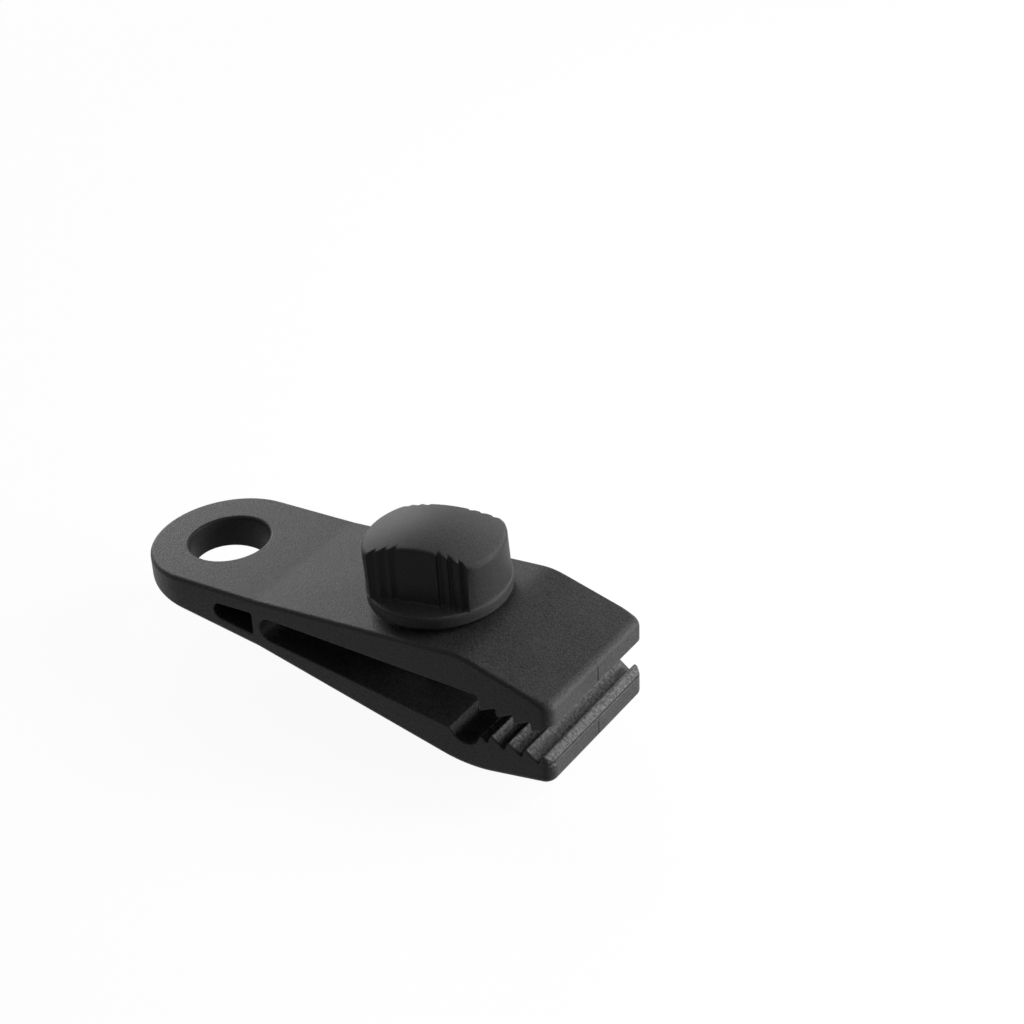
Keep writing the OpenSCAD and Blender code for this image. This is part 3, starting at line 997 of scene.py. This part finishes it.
def mouth_painted_light(tree, coords, colour):
    """The colour with the grain on the teeth and the lip made lighter as painted light, painted shade in the crease
    under the lip and painted shade on the eye's wall.
    """
    place = tree.nodes.new("ShaderNodeAttribute")
    place.attribute_name = REST_PLACE
    split = tree.nodes.new("ShaderNodeSeparateXYZ")
    tree.links.new(place.outputs["Vector"], split.inputs["Vector"])
    x, y, z = (split.outputs[axis] for axis in "XYZ")
    inside = times(tree, band(tree, x, UPPER_TEETH_REAR, MASK_FRONT_X, soft=0.1),
                   band(tree, y, -TEETH_HALF_W, TEETH_HALF_W, soft=0.2))
    teeth = times(tree, inside, band(tree, z, *TEETH_Z, soft=0.05))
    lip_front = times(tree, band(tree, x, LIP_FRONT_X, MASK_FRONT_X, soft=0.02), band(tree, z, *LIP_FRONT_Z, soft=0.05))
    teeth = times(tree, teeth, math_node(tree, "SUBTRACT", 1.0, lip_front))
    sparks = noise(tree, coords, SPARK_SCALE, detail=2.0)
    crease = times(tree, band(tree, x, CREASE_SHADE_X, MASK_FRONT_X, soft=0.1), band(tree, z, *CREASE_SHADE_Z, soft=0.05))
    # Lighter speckle on the teeth and lip: painted light over their real grain
    colour = mix_colour(tree, teeth, colour, tone_ramp(tree, sparks, LIT_SPARK_DARK, LIT_SPARK_LIGHT))
    # Painted shade in the crease where the lip meets the front face
    colour = mix_colour(tree, crease, colour, PAINTED_SHADE_TONE)
    # Painted shade on the wall of the eye's hole
    return mix_colour(tree, eye_wall_shade(tree, x, y), colour, PAINTED_SHADE_TONE)


def painted_top_light(tree, colour, gain):
    """The colour made lighter by a factor on faces that look up: painted light on the knob's dome."""
    facing = tree.nodes.new("ShaderNodeNewGeometry")
    split = tree.nodes.new("ShaderNodeSeparateXYZ")
    tree.links.new(facing.outputs["Normal"], split.inputs["Vector"])
    share = map_range(tree, split.outputs["Z"], *TOP_LIGHT_SPAN)
    return mix_colour(tree, share, colour, gain, "MULTIPLY")


def plastic(name, dark, light, rough, grain_scale, grain_depth, gloss, mouth=False, top_light_gain=None):
    """Black moulded plastic: cloudy grey tone, a fine spark grain in tone, roughness and relief (in millimetres)."""
    mat = bpy.data.materials.new(name)
    mat.use_nodes = True
    tree = mat.node_tree
    tree.nodes.clear()
    out = tree.nodes.new("ShaderNodeOutputMaterial")
    shader = tree.nodes.new("ShaderNodeBsdfPrincipled")
    shader.inputs["IOR"].default_value = PLASTIC_IOR
    shader.inputs["Specular IOR Level"].default_value = gloss
    tree.links.new(shader.outputs["BSDF"], out.inputs["Surface"])
    coords = tree.nodes.new("ShaderNodeTexCoord")
    cloud = noise(tree, coords, CLOUD_SCALE, detail=4.0, roughness=0.55)
    grain = noise(tree, coords, grain_scale, detail=3.0, roughness=0.6)
    mix = tree.nodes.new("ShaderNodeMix")
    mix.data_type = "FLOAT"
    mix.inputs["Factor"].default_value = SPECKLE
    tree.links.new(cloud, mix.inputs["A"])
    tree.links.new(grain, mix.inputs["B"])
    tone = mix.outputs["Result"]
    colour = tone_ramp(tree, tone, dark, light)
    # Painted light on the teeth and lip, painted shade in the crease and on the eye's wall
    if mouth:
        colour = mouth_painted_light(tree, coords, colour)
    # Painted light on faces that look up
    if top_light_gain:
        colour = painted_top_light(tree, colour, top_light_gain)
    tree.links.new(colour, shader.inputs["Base Color"])
    tree.links.new(map_range(tree, tone, *ROUGH_SPAN, *rough), shader.inputs["Roughness"])
    bump = tree.nodes.new("ShaderNodeBump")
    bump.inputs["Strength"].default_value = 1.0
    bump.inputs["Distance"].default_value = grain_depth * MM
    tree.links.new(grain, bump.inputs["Height"])
    tree.links.new(bump.outputs["Normal"], shader.inputs["Normal"])
    return mat


def keep_rest_place(obj):
    """Notes each point's place at rest, for the masks to read."""
    note = obj.data.attributes.new(REST_PLACE, "FLOAT_VECTOR", "POINT")
    for vert, item in zip(obj.data.vertices, note.data):
        item.vector = vert.co


def dress(obj, mat):
    """Gives a piece its material."""
    obj.data.materials.clear()
    obj.data.materials.append(mat)


# Stage, light and camera

def seen_rays(tree):
    """One for rays that show the surround: straight from the camera, mirrored or passed through."""
    path = tree.nodes.new("ShaderNodeLightPath")
    straight, mirrored, passed = (path.outputs[f"Is {kind} Ray"] for kind in ("Camera", "Glossy", "Transmission"))
    return math_node(tree, "MAXIMUM", math_node(tree, "MAXIMUM", straight, mirrored), passed)


def make_stage():
    """A wide white floor that keeps the clip's shadow."""
    z = cad_box[0][2] / MM - FLOOR_DROP
    corners = [(FLOOR_HALF * u, FLOOR_HALF * v, z) for u, v in ((-1, -1), (1, -1), (1, 1), (-1, 1))]
    floor = new_object("floor", corners, [(0, 1, 2, 3)])
    mat = bpy.data.materials.new("floor_white")
    mat.use_nodes = True
    tree = mat.node_tree
    tree.nodes.clear()
    out = tree.nodes.new("ShaderNodeOutputMaterial")
    diffuse = tree.nodes.new("ShaderNodeBsdfDiffuse")
    diffuse.inputs["Color"].default_value = (FLOOR_TONE, FLOOR_TONE, FLOOR_TONE, 1)
    glow = tree.nodes.new("ShaderNodeEmission")
    tree.links.new(times(tree, seen_rays(tree), FLOOR_GLOW), glow.inputs["Strength"])
    add = tree.nodes.new("ShaderNodeAddShader")
    tree.links.new(diffuse.outputs["BSDF"], add.inputs[0])
    tree.links.new(glow.outputs["Emission"], add.inputs[1])
    tree.links.new(add.outputs["Shader"], out.inputs["Surface"])
    floor.data.materials.append(mat)


def make_world():
    """A white surround that gives the clip little light."""
    world = bpy.data.worlds.new("studio")
    bpy.context.scene.world = world
    world.use_nodes = True
    tree = world.node_tree
    tree.nodes.clear()
    out = tree.nodes.new("ShaderNodeOutputWorld")
    mix = tree.nodes.new("ShaderNodeMixShader")
    tree.links.new(seen_rays(tree), mix.inputs["Fac"])
    for strength, socket in zip((WORLD_LIGHT, WORLD_WHITE), mix.inputs[1:]):
        sky = tree.nodes.new("ShaderNodeBackground")
        sky.inputs["Color"].default_value = (1, 1, 1, 1)
        sky.inputs["Strength"].default_value = strength
        tree.links.new(sky.outputs["Background"], socket)
    tree.links.new(mix.outputs["Shader"], out.inputs["Surface"])


def area_light(name, at, size, power):
    """A square soft light."""
    data = bpy.data.lights.new(name, "AREA")
    data.shape = "SQUARE"
    data.size = size * MM
    data.energy = power
    obj = bpy.data.objects.new(name, data)
    obj.location = Vector(at) * MM
    aim = (Vector(LIGHT_TARGET) - Vector(at)).normalized()
    obj.rotation_euler = aim.to_track_quat("-Z", "Y").to_euler()
    bpy.context.scene.collection.objects.link(obj)


def make_camera():
    """The camera of the photograph's lower view."""
    az, el, roll = (math.radians(a) for a in (CAMERA_AZIMUTH, CAMERA_ELEVATION, CAMERA_ROLL))
    forward = Vector((-math.sin(az) * math.cos(el), math.cos(az) * math.cos(el), -math.sin(el)))
    right = Vector((math.cos(az), math.sin(az), 0))
    down = forward.cross(right)
    right, down = (math.cos(roll) * right + math.sin(roll) * down, -math.sin(roll) * right + math.cos(roll) * down)
    data = bpy.data.cameras.new("camera")
    data.sensor_width = SENSOR_MM
    data.sensor_fit = "HORIZONTAL"
    data.lens = CAMERA_FOCAL_PX / IMAGE_PX * SENSOR_MM
    data.clip_start = CAMERA_CLIP_START_M
    obj = bpy.data.objects.new("camera", data)
    place = Matrix((right, -down, -forward)).transposed().to_4x4()
    place.translation = Vector(CAMERA_AT) * MM
    obj.matrix_world = place
    bpy.context.scene.collection.objects.link(obj)
    bpy.context.scene.camera = obj


make_camera()
make_world()
make_stage()
for light in LIGHTS:
    area_light(*light)

# The body's mouth gets painted light on the teeth and painted shade in the crease and on the eye's wall
body_plastic = plastic("body_plastic", dark=(0.014, 0.014, 0.014), light=(0.095, 0.095, 0.096), rough=(0.38, 0.52),
                       grain_scale=2900.0, grain_depth=0.08, gloss=0.13, mouth=True)
# The knob's top gets painted light
knob_plastic = plastic("knob_plastic", dark=(0.022, 0.022, 0.022), light=(0.051, 0.051, 0.052), rough=(0.46, 0.58),
                       grain_scale=3000.0, grain_depth=0.03, gloss=0.12, top_light_gain=2.5)
stem_plastic = plastic("stem_plastic", dark=(0.012, 0.012, 0.013), light=(0.022, 0.022, 0.023), rough=(0.16, 0.26),
                       grain_scale=2200.0, grain_depth=0.006, gloss=0.4)

arm, root = make_body()
dress(arm, body_plastic)
dress(root, body_plastic)
keep_rest_place(arm)
keep_rest_place(root)
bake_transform(arm)
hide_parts("upper_jaw")
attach(root, "body")
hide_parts("lower_jaw", "hinge_web", "tether_eye")

knob = make_knob()
dress(knob, knob_plastic)
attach(knob, "screw")
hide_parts("thumb_knob")

stem = make_stem()
dress(stem, stem_plastic)
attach(stem, "screw")
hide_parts("screw_stem")

collar = make_collar()
dress(collar, stem_plastic)
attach(collar, "collar")
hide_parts("retaining_collar")

bpy.context.scene.view_settings.view_transform = "Standard"
